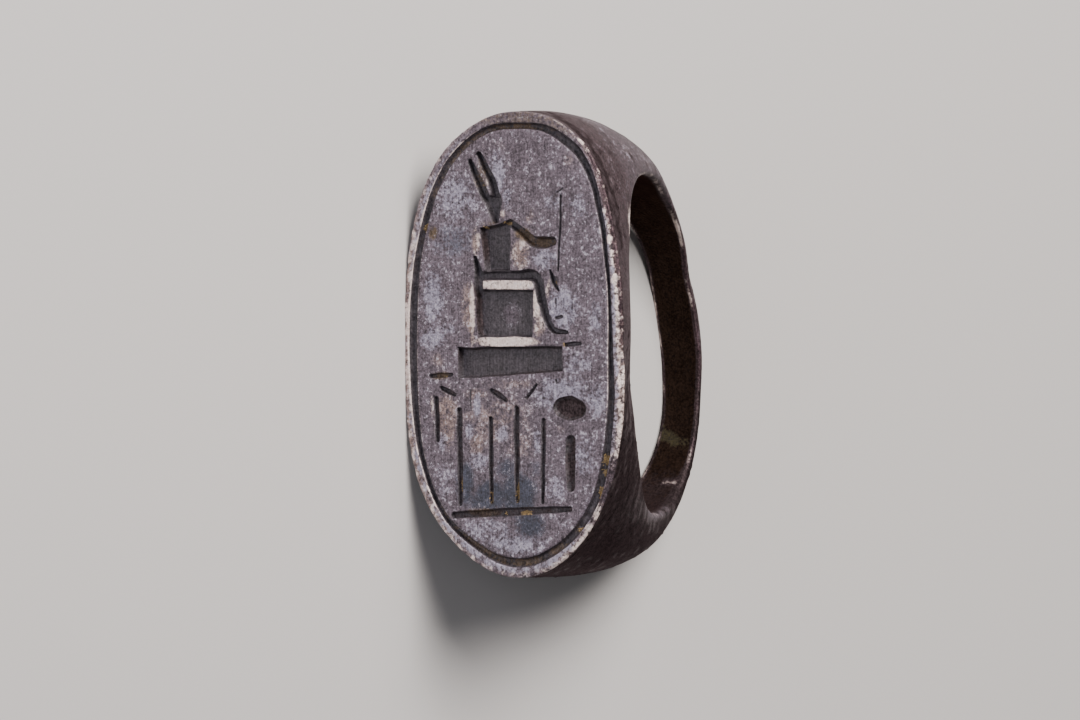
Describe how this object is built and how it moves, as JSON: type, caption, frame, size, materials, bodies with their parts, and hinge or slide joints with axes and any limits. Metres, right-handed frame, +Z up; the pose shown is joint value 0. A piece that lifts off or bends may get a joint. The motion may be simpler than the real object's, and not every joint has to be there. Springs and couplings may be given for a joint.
{
  "type": "seal ring",
  "caption": "Cast signet ring with a long oval seal face, a border groove, sunk carving of a seated figure over rows of strokes, and a tapering hoop.",
  "frame": {"origin": "centre of the ring's footprint box, on the surface that it lies on", "axes": "+X along the seal face towards the carving's foot, -Y out of the seal face (which leans back 16.6 degrees), +Z up, out of the finger hole"},
  "size_m": [0.0282, 0.0232, 0.0144],
  "materials": {
    "tarnished_silver": "old cast silver, dulled grey-brown, with pale bare metal on worn edges and dark tarnish in the carving"
  },
  "bodies": {
    "root": {"seal_ring": "tarnished_silver"}
  },
  "joints": []
}
